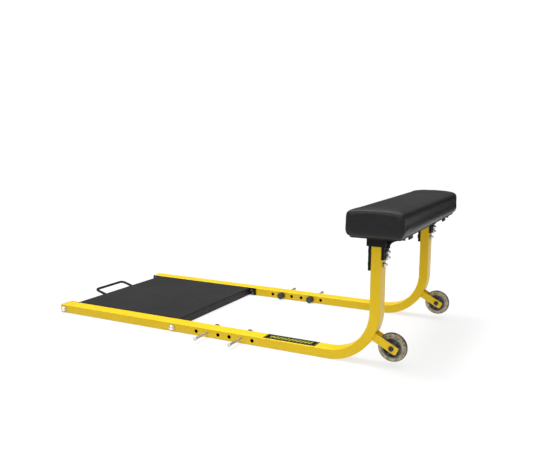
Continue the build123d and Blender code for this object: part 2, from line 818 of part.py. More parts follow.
    ring_width = (fork_gap - wheel_width) / 2
    ring_centres = [end * (half + ring_width / 2) for end in (-1, 1)]
    with BuildPart() as axle_washers:
        with BuildSketch(wheel_plane):
            with Locations(*[(c, (speed_ring_radius + ring_bore) / 2) for c in ring_centres]):
                Rectangle(ring_width, speed_ring_radius - ring_bore)
        revolve(axis=wheel_axis)
    axle_washers.part.label = f"axle_washers_{side}"
    export_step(axle_washers.part, f"parts/axle_washers_{side}.step")

    sleeve_seat = facing(wheel_x, frame_y + sign * fork_outer, wheel_z, (0, sign, 0))
    screw_seat = facing(wheel_x, frame_y - sign * fork_outer, wheel_z, (0, -sign, 0))
    sleeve_length = 2 * fork_outer - axle_end_gap

    with BuildPart() as axle_sleeve:
        with Locations(sleeve_seat):
            add(
                button_bolt(
                    axle_head_radius, axle_head_height, axle_radius, sleeve_length, axle_key, axle_key_depth
                )
            )
        with BuildSketch(sleeve_seat.offset(-sleeve_length)):
            Circle(axle_thread_radius)
        extrude(amount=axle_thread_depth, mode=Mode.SUBTRACT)
    axle_sleeve.part.label = f"axle_sleeve_{side}"
    export_step(axle_sleeve.part, f"parts/axle_sleeve_{side}.step")

    with BuildPart() as axle_screw:
        with Locations(screw_seat):
            add(
                button_bolt(
                    axle_head_radius,
                    axle_head_height,
                    axle_thread_radius - axle_thread_fit,
                    axle_screw_length,
                    axle_key,
                    axle_key_depth,
                )
            )
    axle_screw.part.label = f"axle_screw_{side}"
    export_step(axle_screw.part, f"parts/axle_screw_{side}.step")
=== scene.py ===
import json
import math
import random

import bmesh
import bpy
from mathutils import Matrix, Vector
from mathutils.bvhtree import BVHTree
from mathutils.kdtree import KDTree


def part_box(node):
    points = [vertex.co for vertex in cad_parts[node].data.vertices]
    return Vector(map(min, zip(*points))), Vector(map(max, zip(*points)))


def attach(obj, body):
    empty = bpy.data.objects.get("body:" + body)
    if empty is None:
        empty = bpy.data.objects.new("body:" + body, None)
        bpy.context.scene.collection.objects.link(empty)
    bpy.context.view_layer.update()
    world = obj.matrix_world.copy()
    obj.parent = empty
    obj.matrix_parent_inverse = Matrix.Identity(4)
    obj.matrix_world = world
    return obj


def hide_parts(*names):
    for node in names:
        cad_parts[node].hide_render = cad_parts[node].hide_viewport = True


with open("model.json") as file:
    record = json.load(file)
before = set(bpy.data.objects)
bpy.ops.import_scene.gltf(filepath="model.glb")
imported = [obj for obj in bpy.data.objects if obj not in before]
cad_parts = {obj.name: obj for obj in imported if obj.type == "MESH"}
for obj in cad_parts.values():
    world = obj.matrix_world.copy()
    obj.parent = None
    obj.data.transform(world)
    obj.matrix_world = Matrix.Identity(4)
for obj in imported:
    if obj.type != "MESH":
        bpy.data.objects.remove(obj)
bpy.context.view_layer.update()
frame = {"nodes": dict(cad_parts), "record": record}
nodes = frame["nodes"]
scene = bpy.context.scene

SIDES = {"right": -1, "left": 1}
ENDS = ("foot", "head")
BENCH = "bench"


def span(node):
    """Lowest corner, highest corner and centre of a CAD node."""
    low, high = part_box(node)
    low, high = Vector(low), Vector(high)
    return low, high, (low + high) / 2


# ---- Node material helpers ----------------------------------------------------------------------


class Shader:
    """One procedural material, built socket by socket."""

    def __init__(self, name):
        self.material = bpy.data.materials.new(name)
        self.material.use_nodes = True
        self.tree = self.material.node_tree
        self.tree.nodes.clear()
        self.output = self.node("ShaderNodeOutputMaterial")
        self.surface = self.node("ShaderNodeBsdfPrincipled")
        self.link(self.surface.outputs["BSDF"], self.output.inputs["Surface"])
        self.place = self.node("ShaderNodeTexCoord").outputs["Object"]

    def node(self, kind, **settings):
        made = self.tree.nodes.new(kind)
        for key, value in settings.items():
            setattr(made, key, value)
        return made

    def link(self, source, target):
        self.tree.links.new(source, target)

    def put(self, socket, value):
        """A number, a colour or another node's output goes into a socket."""
        if isinstance(value, bpy.types.NodeSocket):
            self.link(value, socket)
        else:
            socket.default_value = value

    def set(self, **values):
        for key, value in values.items():
            self.put(self.surface.inputs[key.replace("_", " ")], value)

    def mapped(self, scale=(1, 1, 1), offset=(0, 0, 0)):
        mapping = self.node("ShaderNodeMapping")
        self.link(self.place, mapping.inputs["Vector"])
        mapping.inputs["Scale"].default_value = scale
        mapping.inputs["Location"].default_value = offset
        return mapping.outputs["Vector"]

    def noise(self, scale, detail=2.0, rough=0.5, vector=None):
        made = self.node("ShaderNodeTexNoise")
        self.link(vector or self.place, made.inputs["Vector"])
        made.inputs["Scale"].default_value = scale
        made.inputs["Detail"].default_value = detail
        made.inputs["Roughness"].default_value = rough
        return made.outputs["Fac"]

    def cells(self, scale, feature="F1", vector=None, output="Distance"):
        made = self.node("ShaderNodeTexVoronoi", feature=feature)
        self.link(vector or self.place, made.inputs["Vector"])
        made.inputs["Scale"].default_value = scale
        return made.outputs[output]

    def math(self, operation, a, b=0.0, c=0.0, clamp=False):
        made = self.node("ShaderNodeMath", operation=operation, use_clamp=clamp)
        for index, value in enumerate((a, b, c)):
            self.put(made.inputs[index], value)
        return made.outputs[0]

    def spread(self, value, low, high, to_low=0.0, to_high=1.0):
        made = self.node("ShaderNodeMapRange")
        made.clamp = True
        for index, item in enumerate((value, low, high, to_low, to_high)):
            self.put(made.inputs[index], item)
        return made.outputs[0]

    def mix(self, factor, a, b):
        made = self.node("ShaderNodeMix", data_type="RGBA")
        self.put(made.inputs["Factor"], factor)
        self.put(made.inputs["A"], a)
        self.put(made.inputs["B"], b)
        return made.outputs["Result"]

    def axis(self, name):
        split = self.node("ShaderNodeSeparateXYZ")
        self.link(self.place, split.inputs[0])
        return split.outputs[name]

    def length(self, a, b):
        """The hypotenuse of two distances."""
        return self.math("SQRT", self.math("ADD", self.math("MULTIPLY", a, a), self.math("MULTIPLY", b, b)))

    def bump(self, height, distance, strength=1.0, below=None):
        made = self.node("ShaderNodeBump")
        made.inputs["Strength"].default_value = strength
        made.inputs["Distance"].default_value = distance
        self.link(height, made.inputs["Height"])
        if below is not None:
            self.link(below, made.inputs["Normal"])
        self.link(made.outputs["Normal"], self.surface.inputs["Normal"])
        return made.outputs["Normal"]

    def edges(self, radius, low=0.02, high=0.25):
        """1 along sharp edges, 0 on flats."""
        bevel = self.node("ShaderNodeBevel", samples=4)
        bevel.inputs["Radius"].default_value = radius
        shape = self.node("ShaderNodeNewGeometry")
        dot = self.node("ShaderNodeVectorMath", operation="DOT_PRODUCT")
        self.link(bevel.outputs["Normal"], dot.inputs[0])
        self.link(shape.outputs["Normal"], dot.inputs[1])
        turned = self.math("SUBTRACT", 1.0, dot.outputs["Value"])
        return self.spread(turned, low, high)


def rgba(r, g, b):
    """An opaque colour."""
    return (r, g, b, 1.0)


# ---- Materials ----------------------------------------------------------------------------------

FRAME_LOW, FRAME_HIGH, FRAME_MID = span("side_frame_right")
HALF_HEIGHT = 0.015875
HALF_WIDTH = (FRAME_HIGH.y - FRAME_LOW.y) / 2
BEND_RADIUS = 0.149
BEND_OUTER_RADIUS = BEND_RADIUS + HALF_HEIGHT
BEND_CENTRE = (FRAME_HIGH.x - BEND_OUTER_RADIUS, FRAME_LOW.z + BEND_OUTER_RADIUS)
TUBE_MIDDLE_Y = abs(FRAME_MID.y)
TUBE_CORNER = 0.0032
SKIN = 0.0002


def tube_inside(m):
    """1 on the inner faces of the side frames' tubes and in their cross holes, 0 on their outer faces."""
    past_x = m.math("MAXIMUM", m.math("SUBTRACT", m.axis("X"), BEND_CENTRE[0]), 0.0)
    below_z = m.math("MINIMUM", m.math("SUBTRACT", m.axis("Z"), BEND_CENTRE[1]), 0.0)
    off_height = m.math("ABSOLUTE", m.math("SUBTRACT", m.length(past_x, below_z), BEND_RADIUS))
    off_width = m.math("ABSOLUTE", m.math("SUBTRACT", m.math("ABSOLUTE", m.axis("Y")), TUBE_MIDDLE_Y))
    past_height = m.math("MAXIMUM", m.math("SUBTRACT", off_height, HALF_HEIGHT - TUBE_CORNER), 0.0)
    past_width = m.math("MAXIMUM", m.math("SUBTRACT", off_width, HALF_WIDTH - TUBE_CORNER), 0.0)
    return m.math("LESS_THAN", m.length(past_height, past_width), TUBE_CORNER - SKIN)


def make_yellow_paint():
    """Gloss yellow powder coat with specks, rubbed edges, darker towards the floor, and painted shade on
    the insides of the tubes and holes.
    """
    m = Shader("yellow_paint")
    broad = m.noise(7.0, 3.0)
    base = m.mix(m.spread(broad, 0.35, 0.65), rgba(0.80, 0.530, 0.007), rgba(0.84, 0.570, 0.010))
    specks = m.spread(m.noise(420.0, 2.0), 0.70, 0.78)
    base = m.mix(m.math("MULTIPLY", specks, 0.35), base, rgba(0.52, 0.33, 0.02))
    rub = m.math("MULTIPLY", m.edges(0.0012), m.spread(m.noise(60.0, 4.0, 0.7), 0.52, 0.70))
    base = m.mix(m.math("MULTIPLY", rub, 0.55), base, rgba(0.93, 0.76, 0.22))
    # Darker and browner towards the floor, in noisy patches.
    low = m.spread(m.axis("Z"), 0.0, 0.010, 1.0, 0.0)
    darker_near_floor = m.math("MULTIPLY", low, m.spread(m.noise(45.0, 4.0, 0.7), 0.42, 0.75))
    base = m.mix(m.math("MULTIPLY", darker_near_floor, 0.45), base, rgba(0.30, 0.22, 0.08))
    # Painted shade: the inner faces of the tubes and the bores of their cross holes are painted near black,
    # standing in for the shade inside them.
    painted_hole_shade = m.mix(m.noise(50.0, 4.0, 0.7), rgba(0.015, 0.014, 0.013), rgba(0.05, 0.045, 0.04))
    base = m.mix(tube_inside(m), base, painted_hole_shade)
    rough = m.spread(m.noise(30.0, 4.0, 0.6), 0.3, 0.7, 0.26, 0.38)
    m.set(Base_Color=base, Roughness=rough, Specular_IOR_Level=0.22, Coat_Weight=0.05, Coat_Roughness=0.14)
    m.bump(m.noise(750.0, 2.0), 0.00012, 0.55)
    return m.material


def make_black_powder_coat():
    """Fine-textured black powder coat with rubbed edges."""
    m = Shader("black_powder_coat")
    broad = m.noise(9.0, 3.0)
    base = m.mix(m.spread(broad, 0.35, 0.65), rgba(0.006, 0.006, 0.0065), rgba(0.010, 0.010, 0.0105))
    rub = m.math("MULTIPLY", m.edges(0.0011), m.spread(m.noise(70.0, 4.0, 0.7), 0.45, 0.70))
    base = m.mix(m.math("MULTIPLY", rub, 0.4), base, rgba(0.06, 0.06, 0.063))
    rough = m.spread(m.noise(160.0, 3.0, 0.6), 0.3, 0.7, 0.42, 0.60)
    m.set(Base_Color=base, Roughness=rough, Specular_IOR_Level=0.16)
    fine = m.bump(m.noise(1100.0, 3.0, 0.65), 0.00025, 0.75)
    m.bump(m.cells(520.0, "SMOOTH_F1"), 0.00015, 0.35, fine)
    return m.material


def make_footplate_coat():
    """Black coat with foot scuffs on its top, and its bends lighter: partly rubbed wear, partly a painted
    highlight.
    """
    m = Shader("footplate_coat")
    high = span("footplate")[1]
    broad = m.noise(5.0, 4.0, 0.6)
    base = m.mix(m.spread(broad, 0.35, 0.65), rgba(0.015, 0.015, 0.015), rgba(0.019, 0.019, 0.019))
    up = m.spread(m.axis("Z"), high.z - 0.0006, high.z - 0.0001)
    streaks = m.spread(m.noise(60.0, 5.0, 0.75, m.mapped((1.0, 0.12, 1.0))), 0.58, 0.80)
    scuffs = m.math("MULTIPLY", m.math("MULTIPLY", up, streaks), 0.14)
    base = m.mix(scuffs, base, rgba(0.07, 0.069, 0.067))
    # The edges are painted lighter grey: partly rubbed wear, partly a painted highlight along the bends.
    rub = m.math("MULTIPLY", m.edges(0.0014), m.spread(m.noise(80.0, 4.0, 0.7), 0.42, 0.68))
    base = m.mix(m.math("MULTIPLY", rub, 0.45), base, rgba(0.14, 0.14, 0.145))
    rough = m.spread(m.noise(22.0, 4.0, 0.65), 0.3, 0.7, 0.42, 0.54)
    m.set(Base_Color=base, Roughness=rough, Specular_IOR_Level=0.18)
    fine = m.bump(m.noise(900.0, 3.0, 0.65), 0.00030, 0.85)
    m.bump(m.cells(430.0, "SMOOTH_F1"), 0.00022, 0.45, fine)
    return m.material


def make_metal(name, light, dark, rough, marks_scale, stretch=(1, 1, 1), bump=0.00003):
    """Bare or plated metal with fine marks and dull spots."""
    m = Shader(name)
    grain = m.noise(marks_scale, 4.0, 0.65, m.mapped(stretch))
    base = m.mix(m.spread(grain, 0.3, 0.7), rgba(*dark), rgba(*light))
    spots = m.spread(m.noise(90.0, 4.0, 0.7), 0.62, 0.80)
    base = m.mix(m.math("MULTIPLY", spots, 0.25), base, rgba(*(c * 0.5 for c in dark)))
    m.set(Base_Color=base, Metallic=1.0, Roughness=m.spread(grain, 0.3, 0.7, rough, rough + 0.14))
    m.bump(grain, bump, 0.6)
    return m.material


def make_turned_steel():
    """Bright bar, turned on a lathe: fine rings round the Y axis and long rub marks from the bore."""
    m = Shader("turned_steel")
    rings = m.noise(1800.0, 2.0, 0.6, m.mapped((0.02, 1.0, 0.02)))
    drag = m.spread(m.noise(900.0, 3.0, 0.6, m.mapped((1.0, 0.02, 1.0))), 0.55, 0.75)
    base = m.mix(m.spread(rings, 0.3, 0.7), rgba(0.60, 0.58, 0.54), rgba(0.76, 0.74, 0.70))
    base = m.mix(m.math("MULTIPLY", drag, 0.4), base, rgba(0.38, 0.35, 0.30))
    m.set(Base_Color=base, Metallic=1.0, Roughness=m.spread(rings, 0.3, 0.7, 0.24, 0.38))
    m.bump(rings, 0.00003, 0.7)
    return m.material


KNOB_FACE_RADIUS = 0.0085
KNOB_RIM_RADIUS = 0.0115


def knob_rim(m):
    """1 on the outer rim of the band pegs' knobs, 0 near their middles."""
    gaps = []
    for end in ENDS:
        centre = span(f"peg_knob_right_{end}")[2]
        gaps.append(m.math("ABSOLUTE", m.math("SUBTRACT", m.axis("X"), centre.x)))
    dx = m.math("MINIMUM", *gaps)
    dz = m.math("SUBTRACT", m.axis("Z"), centre.z)
    return m.spread(m.length(dx, dz), KNOB_FACE_RADIUS, KNOB_RIM_RADIUS)


def make_knob_plastic():
    """Blue-grey plastic with a satin face and painted shade darkening its rim."""
    m = Shader("knob_plastic")
    cloud = m.spread(m.noise(40.0, 3.0), 0.35, 0.65)
    base = m.mix(cloud, rgba(0.040, 0.044, 0.053), rgba(0.058, 0.063, 0.074))
    # Painted shade: the rim is painted near black, standing in for the shade on the knob's edge.
    base = m.mix(knob_rim(m), base, rgba(0.010, 0.011, 0.013))
    m.set(Base_Color=base, Roughness=m.spread(m.noise(300.0, 3.0), 0.3, 0.7, 0.36, 0.48))
    m.bump(m.noise(800.0, 3.0, 0.6), 0.0001, 0.8)
    return m.material


def make_plastic(name, light, dark, rough, grain_scale, grain_depth):
    """Moulded plastic with a fine grain and paler worn edges."""
    m = Shader(name)
    base = m.mix(m.spread(m.noise(40.0, 3.0), 0.35, 0.65), rgba(*dark), rgba(*light))
    base = m.mix(m.math("MULTIPLY", m.edges(0.0008), 0.25), base, rgba(*(min(1.0, c * 2.4) for c in light)))
    m.set(Base_Color=base, Roughness=m.spread(m.noise(300.0, 3.0), 0.3, 0.7, rough - 0.06, rough + 0.06))
    m.bump(m.noise(grain_scale, 3.0, 0.6), grain_depth, 0.8)
    return m.material


DASH_PITCH = 0.0135
DASH_SLANT = -0.45
DASH_FROM_END = 0.0160
DASH_FROM_SIDE = 0.0125
LINE_FROM_EDGE = 0.0026
LINE_WIDTH = 0.0016
SHARP = 0.0003


def make_label_film():
    """Black film with a thin yellow line inside its edge and plain slanted dashes, no lettering."""
    m = Shader("label_film")
    low, high, centre = span("rail_label")
    half = (high - low) / 2
    gap_x = m.math("SUBTRACT", half.x, m.math("ABSOLUTE", m.math("SUBTRACT", m.axis("X"), centre.x)))
    gap_y = m.math("SUBTRACT", half.y, m.math("ABSOLUTE", m.math("SUBTRACT", m.axis("Y"), centre.y)))
    gap = m.math("MINIMUM", gap_x, gap_y)
    line_start = m.spread(gap, LINE_FROM_EDGE, LINE_FROM_EDGE + SHARP)
    line_end = LINE_FROM_EDGE + LINE_WIDTH
    line = m.math("MULTIPLY", line_start, m.spread(gap, line_end, line_end + SHARP, 0.6, 0.0))
    slant = m.math("ADD", m.axis("X"), m.math("MULTIPLY", m.axis("Y"), DASH_SLANT))
    wave = m.math("SINE", m.math("MULTIPLY", slant, 2 * math.pi / DASH_PITCH))
    within_x = m.spread(gap_x, DASH_FROM_END, DASH_FROM_END + 0.0005)
    within = m.math("MULTIPLY", within_x, m.spread(gap_y, DASH_FROM_SIDE, DASH_FROM_SIDE + 0.0005))
    dashes = m.math("MULTIPLY", m.spread(wave, -0.30, -0.18), within)
    drawn = m.math("MAXIMUM", line, dashes)
    cloud = m.spread(m.noise(12.0, 3.0), 0.3, 0.7)
    film = m.mix(cloud, rgba(0.008, 0.008, 0.008), rgba(0.012, 0.012, 0.012))
    worn = m.spread(m.noise(260.0, 3.0, 0.7), 0.62, 0.74, 1.0, 0.75)
    base = m.mix(m.math("MULTIPLY", drawn, worn), film, rgba(0.36, 0.35, 0.05))
    rough = m.spread(m.noise(90.0, 4.0), 0.3, 0.7, 0.42, 0.55)
    m.set(Base_Color=base, Roughness=rough, Specular_IOR_Level=0.04)
    m.bump(m.noise(220.0, 2.0), 0.00005, 0.35)
    return m.material


def make_vinyl():
    """Black upholstery vinyl: leather grain with painted shade in its creases, soft sheen, a little
    polished where it's leaned on.
    """
    m = Shader("pad_vinyl")
    high = span("pad_cushion")[1]
    warp = m.node("ShaderNodeTexNoise")
    m.link(m.place, warp.inputs["Vector"])
    warp.inputs["Scale"].default_value = 120.0
    bend = m.node("ShaderNodeVectorMath", operation="MULTIPLY_ADD")
    m.link(warp.outputs["Color"], bend.inputs[0])
    bend.inputs[1].default_value = (0.004, 0.004, 0.004)
    m.link(m.place, bend.inputs[2])
    grain = m.spread(m.cells(330.0, "DISTANCE_TO_EDGE", bend.outputs[0]), 0.0, 0.16)
    pores = m.noise(1300.0, 2.0)
    broad = m.spread(m.noise(6.0, 4.0, 0.6), 0.35, 0.65)
    base = m.mix(broad, rgba(0.018, 0.018, 0.0182), rgba(0.023, 0.023, 0.0232))
    # Painted shade: the grain's creases are painted darker.
    base = m.mix(m.math("MULTIPLY", m.math("SUBTRACT", 1.0, grain), 0.5), base, rgba(0.008, 0.008, 0.008))
    up = m.spread(m.axis("Z"), high.z - 0.030, high.z, 0.0, 1.0)
    polish = m.math("MULTIPLY", up, m.spread(m.noise(9.0, 4.0, 0.6), 0.40, 0.70))
    rough = m.math("SUBTRACT", m.spread(grain, 0.0, 1.0, 0.45, 0.36), m.math("MULTIPLY", polish, 0.05))
    m.set(Base_Color=base, Roughness=rough, Specular_IOR_Level=0.20)
    fine = m.bump(pores, 0.00010, 0.4)
    creased = m.bump(grain, 0.00028, 0.65, fine)
    m.bump(m.noise(26.0, 3.0, 0.55), 0.0012, 0.30, creased)
    return m.material


PLY_PAIR = 0.004


def make_plywood():
    """Pale plywood: long grain on its faces and plies along its edges."""
    m = Shader("plywood")
    grain = m.noise(24.0, 6.0, 0.65, m.mapped((9.0, 0.7, 9.0)))
    face = m.mix(m.spread(grain, 0.3, 0.7), rgba(0.36, 0.23, 0.12), rgba(0.55, 0.38, 0.22))
    plies = m.math("SINE", m.math("MULTIPLY", m.axis("Z"), 2 * math.pi / PLY_PAIR))
    edge = m.mix(m.spread(plies, -0.2, 0.2), rgba(0.25, 0.15, 0.08), rgba(0.52, 0.36, 0.20))
    shape = m.node("ShaderNodeNewGeometry")
    split = m.node("ShaderNodeSeparateXYZ")
    m.link(shape.outputs["Normal"], split.inputs[0])
    flat = m.spread(m.math("ABSOLUTE", split.outputs["Z"]), 0.5, 0.7)
    m.set(Base_Color=m.mix(flat, edge, face), Roughness=0.72)
    m.bump(grain, 0.0002, 0.5)
    return m.material


TREAD_INNER_RADIUS = 0.0410
TREAD_OUTER_RADIUS = 0.0432


def make_urethane():
    """Clear amber urethane: see-through in its body, less so along the tread, where painted shade darkens
    it.
    """
    m = Shader("clear_urethane")
    centre = span("wheel_tyre_right")[2]
    dx = m.math("SUBTRACT", m.axis("X"), centre.x)
    dz = m.math("SUBTRACT", m.axis("Z"), centre.z)
    tread = m.spread(m.length(dx, dz), TREAD_INNER_RADIUS, TREAD_OUTER_RADIUS)
    cloud = m.spread(m.noise(70.0, 5.0, 0.7), 0.40, 0.62)
    flecks = m.spread(m.noise(210.0, 3.0, 0.7), 0.56, 0.66)
    body = m.mix(cloud, rgba(0.74, 0.64, 0.42), rgba(0.24, 0.19, 0.11))
    body = m.mix(m.math("MULTIPLY", flecks, 0.7), body, rgba(0.06, 0.05, 0.03))
    # Painted shade: the band along the tread is painted near black, standing in for the dark outline that
    # reflection and refraction give the clear tyre's edge.
    base = m.mix(m.math("MULTIPLY", tread, 0.9), body, rgba(0.045, 0.038, 0.026))
    m.set(Base_Color=base, IOR=1.48, Specular_IOR_Level=0.5)
    m.set(Transmission_Weight=m.spread(tread, 0.0, 1.0, 0.40, 0.15))
    m.set(Roughness=m.spread(m.noise(160.0, 4.0, 0.7), 0.3, 0.7, 0.10, 0.24))
    m.bump(m.noise(300.0, 3.0, 0.6), 0.00010, 0.5)
    return m.material


def make_thread():
    """Twisted black thread."""
    m = Shader("stitch_thread")
    ply = m.noise(900.0, 3.0, 0.6)
    m.set(Base_Color=m.mix(ply, rgba(0.030, 0.030, 0.031), rgba(0.06, 0.06, 0.062)), Roughness=0.7)
    m.bump(ply, 0.0001, 0.8)
    return m.material


MATERIALS = {
    "yellow_paint": make_yellow_paint(),
    "black_powder_coat": make_black_powder_coat(),
    "footplate_coat": make_footplate_coat(),
    "black_oxide_steel": make_plastic(
        "black_oxide_steel", (0.020, 0.021, 0.024), (0.012, 0.012, 0.014), 0.34, 700.0, 0.00006
    ),
    "zinc_steel": make_metal("zinc_steel", (0.66, 0.67, 0.70), (0.48, 0.49, 0.52), 0.26, 260.0),
    "chrome": make_metal("chrome", (0.95, 0.95, 0.96), (0.88, 0.88, 0.89), 0.26, 120.0, bump=0.00001),
    "turned_steel": make_turned_steel(),
    "black_plastic": make_plastic(
        "black_plastic", (0.022, 0.022, 0.023), (0.014, 0.014, 0.014), 0.55, 900.0, 0.0001
    ),
    "knob_plastic": make_knob_plastic(),
    "label_film": make_label_film(),
    "plywood": make_plywood(),
    "pad_vinyl": make_vinyl(),
    "clear_urethane": make_urethane(),
    "hub_plastic": make_plastic(
        "hub_plastic", (0.130, 0.132, 0.145), (0.075, 0.077, 0.086), 0.36, 600.0, 0.0001
    ),
    "bearing_steel": make_metal("bearing_steel", (0.66, 0.66, 0.68), (0.52, 0.52, 0.54), 0.18, 500.0),
    "bearing_shield": make_metal("bearing_shield", (0.44, 0.44, 0.46), (0.32, 0.32, 0.34), 0.30, 500.0),
}
THREAD = make_thread()

slot_of = {entry["node"]: entry["material_slot"] for entry in frame["record"]["subparts"]}
for name, made in nodes.items():
    chosen = "footplate_coat" if name == "footplate" else slot_of[name]
    for place in made.material_slots:
        place.material = MATERIALS[chosen]


# ---- New pieces ---------------------------------------------------------------------------------


def add_piece(name, mesh_maker, material, body=BENCH, smooth=True):
    """A mesh piece that rides on a body. mesh_maker fills a bmesh."""
    mesh = bpy.data.meshes.new(name)
    shape = bmesh.new()
    mesh_maker(shape)
    bmesh.ops.recalc_face_normals(shape, faces=shape.faces[:])
    shape.to_mesh(mesh)
    shape.free()
    made = bpy.data.objects.new(name, mesh)
    scene.collection.objects.link(made)
    mesh.materials.append(material)
    for face in mesh.polygons:
        face.use_smooth = smooth
    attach(made, body)
    return made


def join_rings(shape, rings, closed=False):
    """Quads between rings of equal length, each ring a closed loop."""
    pairs = list(zip(rings, rings[1:]))
    if closed:
        pairs.append((rings[-1], rings[0]))
    for first, second in pairs:
        for step in range(len(first)):
            after = (step + 1) % len(first)
            shape.faces.new((first[step], first[after], second[after], second[step]))


def tube(shape, points, radii, sides=8, closed=False):
    """A tube through points, with its own radius at each, capped at its ends unless closed."""
    count = len(points)
    rings = []
    side = None
    for index, point in enumerate(points):
        before = points[index - 1] if index or closed else point
        after = points[(index + 1) % count] if index + 1 < count or closed else point
        along = (after - before).normalized()
        if side is None:
            side = along.orthogonal().normalized()
        side = (side - along * side.dot(along)).normalized()
        other = along.cross(side)
        ring = []
        for step in range(sides):
            turn = 2 * math.pi * step / sides
            outward = side * math.cos(turn) + other * math.sin(turn)
            ring.append(shape.verts.new(point + outward * radii[index]))
        rings.append(ring)
    join_rings(shape, rings, closed)
    if not closed:
        shape.faces.new(rings[0])
        shape.faces.new(list(reversed(rings[-1])))


# ---- Pad cover ----------------------------------------------------------------------------------

PAD_LOW, PAD_HIGH, PAD_MID = span("pad_cushion")
PAD_HALF_X = (PAD_HIGH.x - PAD_LOW.x) / 2
PAD_HALF_Y = (PAD_HIGH.y - PAD_LOW.y) / 2
SWELL_ROOM = 0.0018
SWELL_CAP = 0.0018
HELD_HEIGHT = 0.004
CLOTH_FRAMES = 20
CLOTH_MASS = 0.3
CLOTH_STIFFNESS = 15
CLOTH_BENDING = 0.5
CLOTH_PRESSURE = 4.0
PAD_VOXEL = 0.005
CROWN_DROP = 0.009
LOW_RADIUS = 0.019
HIGH_RADIUS = 0.015
END_RADIUS = 0.012
ARC_STEPS = 8
CROWN_STEPS = 24


def pad_outline(inset):
    """The pad's section across X, drawn in by inset: flat bottom, upright sides and a crowned top."""
    half = PAD_HALF_X - SWELL_ROOM - inset
    low = PAD_LOW.z + inset
    high = PAD_HIGH.z - SWELL_ROOM - inset
    lean = math.atan(2 * CROWN_DROP / half)
    crown_x = half - HIGH_RADIUS * (1 - math.sin(lean))
    crown_z = high - CROWN_DROP * (crown_x / half) ** 2
    quarter = [math.pi / 2 * step / ARC_STEPS for step in range(ARC_STEPS + 1)]
    side = []
    for turn in quarter:
        x = half - LOW_RADIUS * (1 - math.sin(turn))
        side.append((x, low + LOW_RADIUS * (1 - math.cos(turn))))
    for turn in quarter:
        tilt = turn * (math.pi / 2 - lean) / (math.pi / 2)
        x = half - HIGH_RADIUS * (1 - math.cos(tilt))
        side.append((x, crown_z - HIGH_RADIUS * (math.cos(lean) - math.sin(tilt))))
    crown = []
    for step in range(1, CROWN_STEPS):
        x = crown_x * (1 - 2 * step / CROWN_STEPS)
        crown.append((x, high - CROWN_DROP * (x / half) ** 2))
    return side + crown + [(-x, z) for x, z in reversed(side)]


def end_place(turn):
    """Y and inset on the round edge of the pad's end: turn 0 on the end face, a quarter turn on top."""
    y = PAD_HALF_Y - SWELL_ROOM - END_RADIUS * (1 - math.cos(turn))
    return y, END_RADIUS * (1 - math.sin(turn))


def fill_pad(shape):
    """Rings of the section from end to end, drawn in at the ends so that their edges are round."""
    far_end = [end_place(math.pi / 2 * step / ARC_STEPS) for step in range(ARC_STEPS + 1)]
    rows = [(-y, inset) for y, inset in far_end] + list(reversed(far_end))
    rings = []
    for y, inset in rows:
        rings.append([shape.verts.new((PAD_MID.x + x, y, z)) for x, z in pad_outline(inset)])
    join_rings(shape, rings)
    shape.faces.new(rings[0])
    shape.faces.new(list(reversed(rings[-1])))


def apply_all(made):
    """The object's modifiers become its mesh."""
    graph = bpy.context.evaluated_depsgraph_get()
    done = bpy.data.meshes.new_from_object(made.evaluated_get(graph))
    made.modifiers.clear()
    made.data = done


def swell(made, cap):
    """Voxel remesh, then a short pressure simulation, with no point moving further than cap."""
    remesh = made.modifiers.new("remesh", "REMESH")
    remesh.mode = "VOXEL"
    remesh.voxel_size = PAD_VOXEL
    apply_all(made)
    rest = [v.co.copy() for v in made.data.vertices]
    held = made.vertex_groups.new(name="held")
    low = PAD_LOW.z + HELD_HEIGHT
    held.add([i for i, co in enumerate(rest) if co.z < low], 1.0, "REPLACE")
    cloth = made.modifiers.new("cloth", "CLOTH")
    cloth.settings.quality = 5
    cloth.settings.mass = CLOTH_MASS
    cloth.settings.tension_stiffness = CLOTH_STIFFNESS
    cloth.settings.compression_stiffness = CLOTH_STIFFNESS
    cloth.settings.bending_stiffness = CLOTH_BENDING
    cloth.settings.use_pressure = True
    cloth.settings.uniform_pressure_force = CLOTH_PRESSURE
    cloth.settings.vertex_group_mass = "held"
    cloth.settings.effector_weights.gravity = 0.0
    cloth.collision_settings.use_collision = False
    cloth.point_cache.frame_start = 1
    cloth.point_cache.frame_end = CLOTH_FRAMES
    for step in range(1, CLOTH_FRAMES + 1):
        scene.frame_set(step)
    apply_all(made)
    scene.frame_set(1)
    for vertex, start in zip(made.data.vertices, rest):
        moved = vertex.co - start
        if moved.length > cap:
            vertex.co = start + moved.normalized() * cap
    smooth = made.modifiers.new("smooth", "SMOOTH")
    smooth.factor = 0.5
    smooth.iterations = 6
    finer = made.modifiers.new("finer", "SUBSURF")
    finer.levels = finer.render_levels = 1
    apply_all(made)
    for face in made.data.polygons:
        face.use_smooth = True


pad_cover = add_piece("pad_cover", fill_pad, MATERIALS["pad_vinyl"])
swell(pad_cover, SWELL_CAP)
pad_cover.data.materials.clear()
pad_cover.data.materials.append(MATERIALS["pad_vinyl"])

# Sewn seams round both ends of the cover
SEAM_TURN = math.radians(24)
SEAM_REACH = 0.02
SEAM_GROOVE = 0.0013
SEAM_SPREAD = 0.0023
STITCH_PITCH = 0.0042
STITCH_LENGTH = 0.0033
STITCH_RADIUS = 0.00042
STITCH_SINK = 0.75


